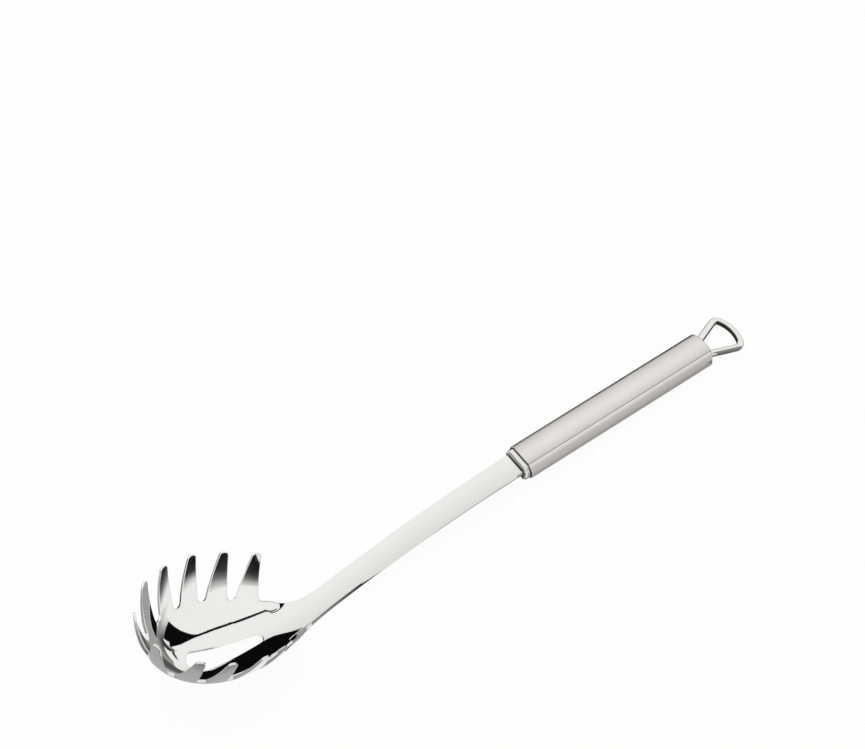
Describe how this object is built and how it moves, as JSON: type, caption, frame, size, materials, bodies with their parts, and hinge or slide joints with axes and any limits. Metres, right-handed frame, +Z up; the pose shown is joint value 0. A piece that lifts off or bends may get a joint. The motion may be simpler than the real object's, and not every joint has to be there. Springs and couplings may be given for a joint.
{
  "type": "pasta server",
  "caption": "Steel pasta server: deep toothed oval bowl with a tapered drain slot on a bowed flat shank, set in a hollow handle with a wire hanging loop.",
  "frame": {"origin": "on the table, below the middle of the server's bounding box, lying on its neck and the handle's rear edge", "axes": "+X towards the hanging loop, +Z up out of the bowl's mouth, Y across; the server is symmetric about Y = 0"},
  "size_m": [0.3438, 0.0692, 0.0727],
  "materials": {
    "polished_steel": "mirror polished",
    "collar_steel": "polished",
    "satin_steel": "satin, brushed lengthwise",
    "plug_steel": "satin",
    "wire_steel": "polished"
  },
  "bodies": {
    "root": {"server_head": "polished_steel", "front_collar": "collar_steel", "handle_tube": "satin_steel", "rear_plug": "plug_steel", "hanging_loop": "wire_steel"}
  },
  "joints": []
}
